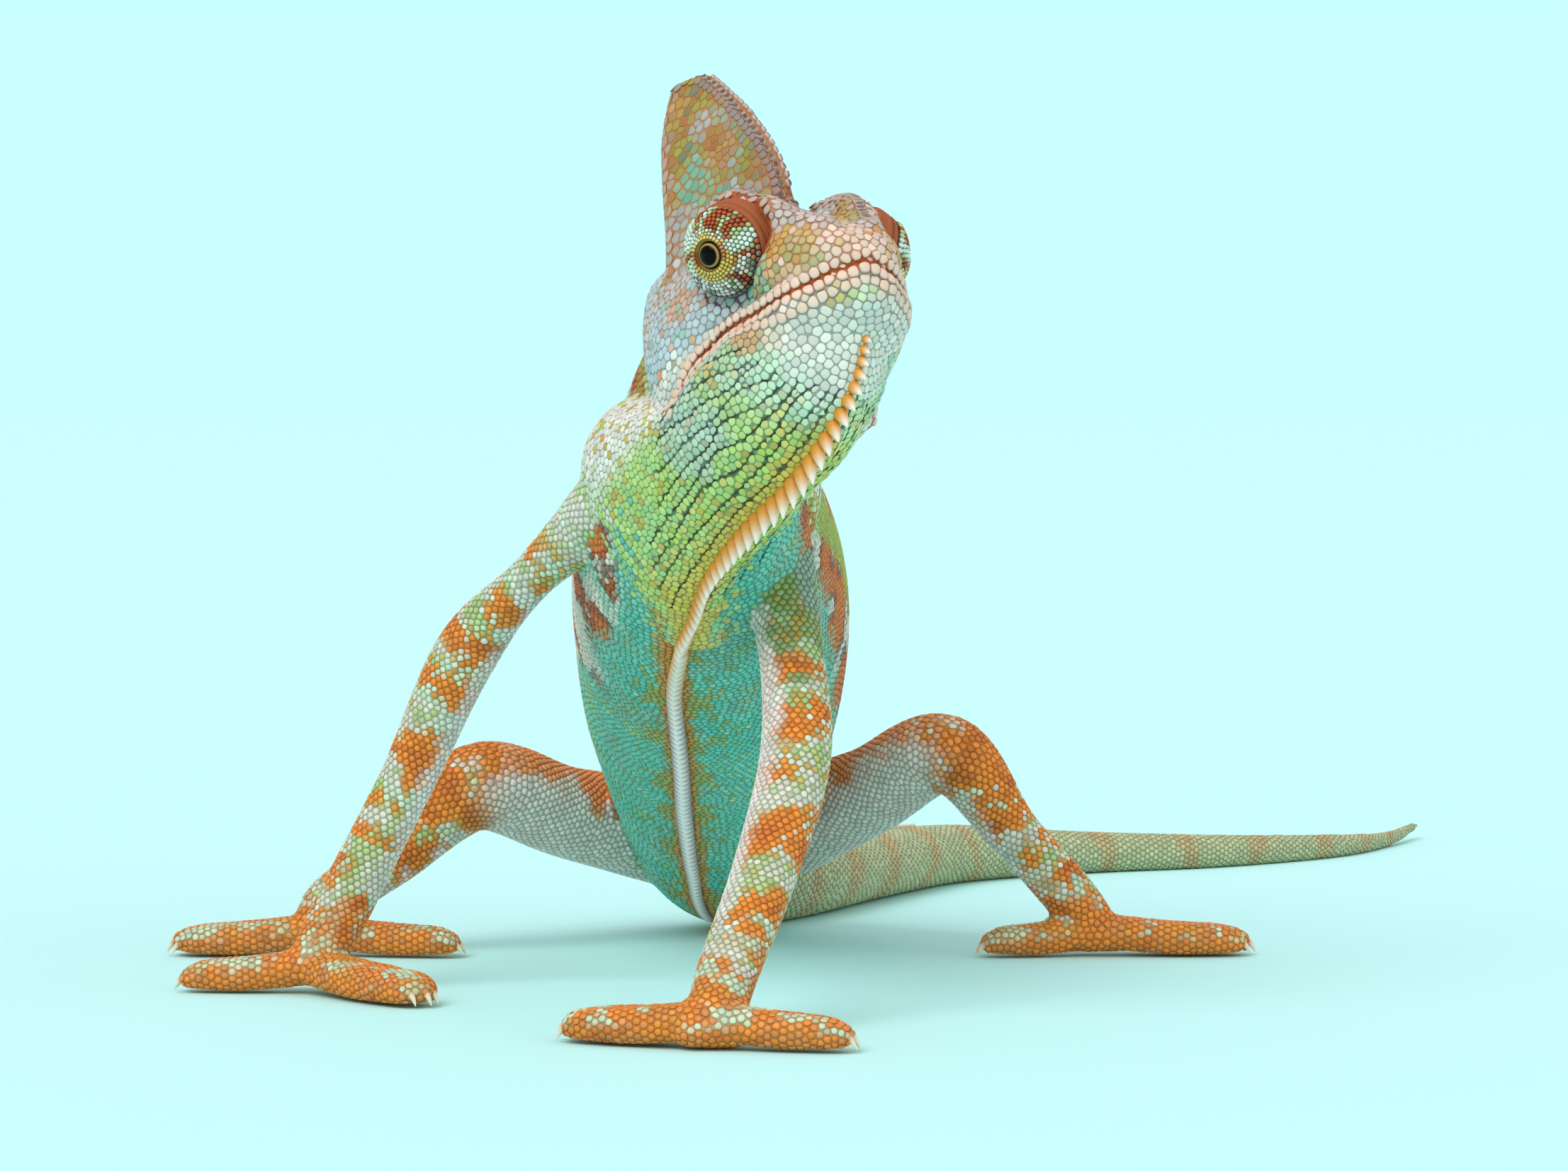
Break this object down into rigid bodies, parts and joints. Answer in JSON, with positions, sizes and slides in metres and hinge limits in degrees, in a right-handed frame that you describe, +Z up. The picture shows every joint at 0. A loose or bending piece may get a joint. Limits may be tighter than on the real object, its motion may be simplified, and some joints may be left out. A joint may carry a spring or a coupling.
{
  "type": "veiled chameleon",
  "caption": "Life-size still veiled chameleon reared on straight forelegs, head turned, tall pointed casque, cone-shaped eye turrets, gripping feet and a long trailing tail.",
  "frame": {"origin": "middle of the bounding box on the floor the animal stands on", "axes": "+Z up, -Y the way the chest faces, +Y towards the tail, +X the animal's left"},
  "size_m": [0.1898, 0.2695, 0.1143],
  "materials": {
    "body_skin": "dry granular scales, teal green with olive and rust bands",
    "head_skin": "satin plate scales, lilac grey with pale blue-green cheeks",
    "foot_skin": "granular scales, burnt orange and mint",
    "turret_skin": "fine radiating scales, mint white and rust",
    "eye": "wet and glossy",
    "claw": "cream horn, polished"
  },
  "bodies": {
    "root": {"skull": "head_skin", "casque": "head_skin", "jaw": "head_skin", "throat": "body_skin", "neck": "body_skin", "eye_turret_l": "turret_skin", "eye_l": "eye", "eye_turret_r": "turret_skin", "eye_r": "eye", "chest": "body_skin", "belly": "body_skin", "hips": "body_skin", "tail_1": "body_skin", "tail_2": "body_skin", "tail_3": "body_skin", "tail_4": "body_skin", "upper_arm_l": "body_skin", "forearm_l": "body_skin", "fingers_inner_l": "foot_skin", "fingers_outer_l": "foot_skin", "hand_l": "foot_skin", "upper_arm_r": "body_skin", "forearm_r": "body_skin", "fingers_inner_r": "foot_skin", "fingers_outer_r": "foot_skin", "hand_r": "foot_skin", "thigh_l": "body_skin", "shank_l": "body_skin", "toes_inner_l": "foot_skin", "toes_outer_l": "foot_skin", "foot_l": "foot_skin", "thigh_r": "body_skin", "shank_r": "body_skin", "toes_inner_r": "foot_skin", "toes_outer_r": "foot_skin", "foot_r": "foot_skin"}
  },
  "joints": []
}
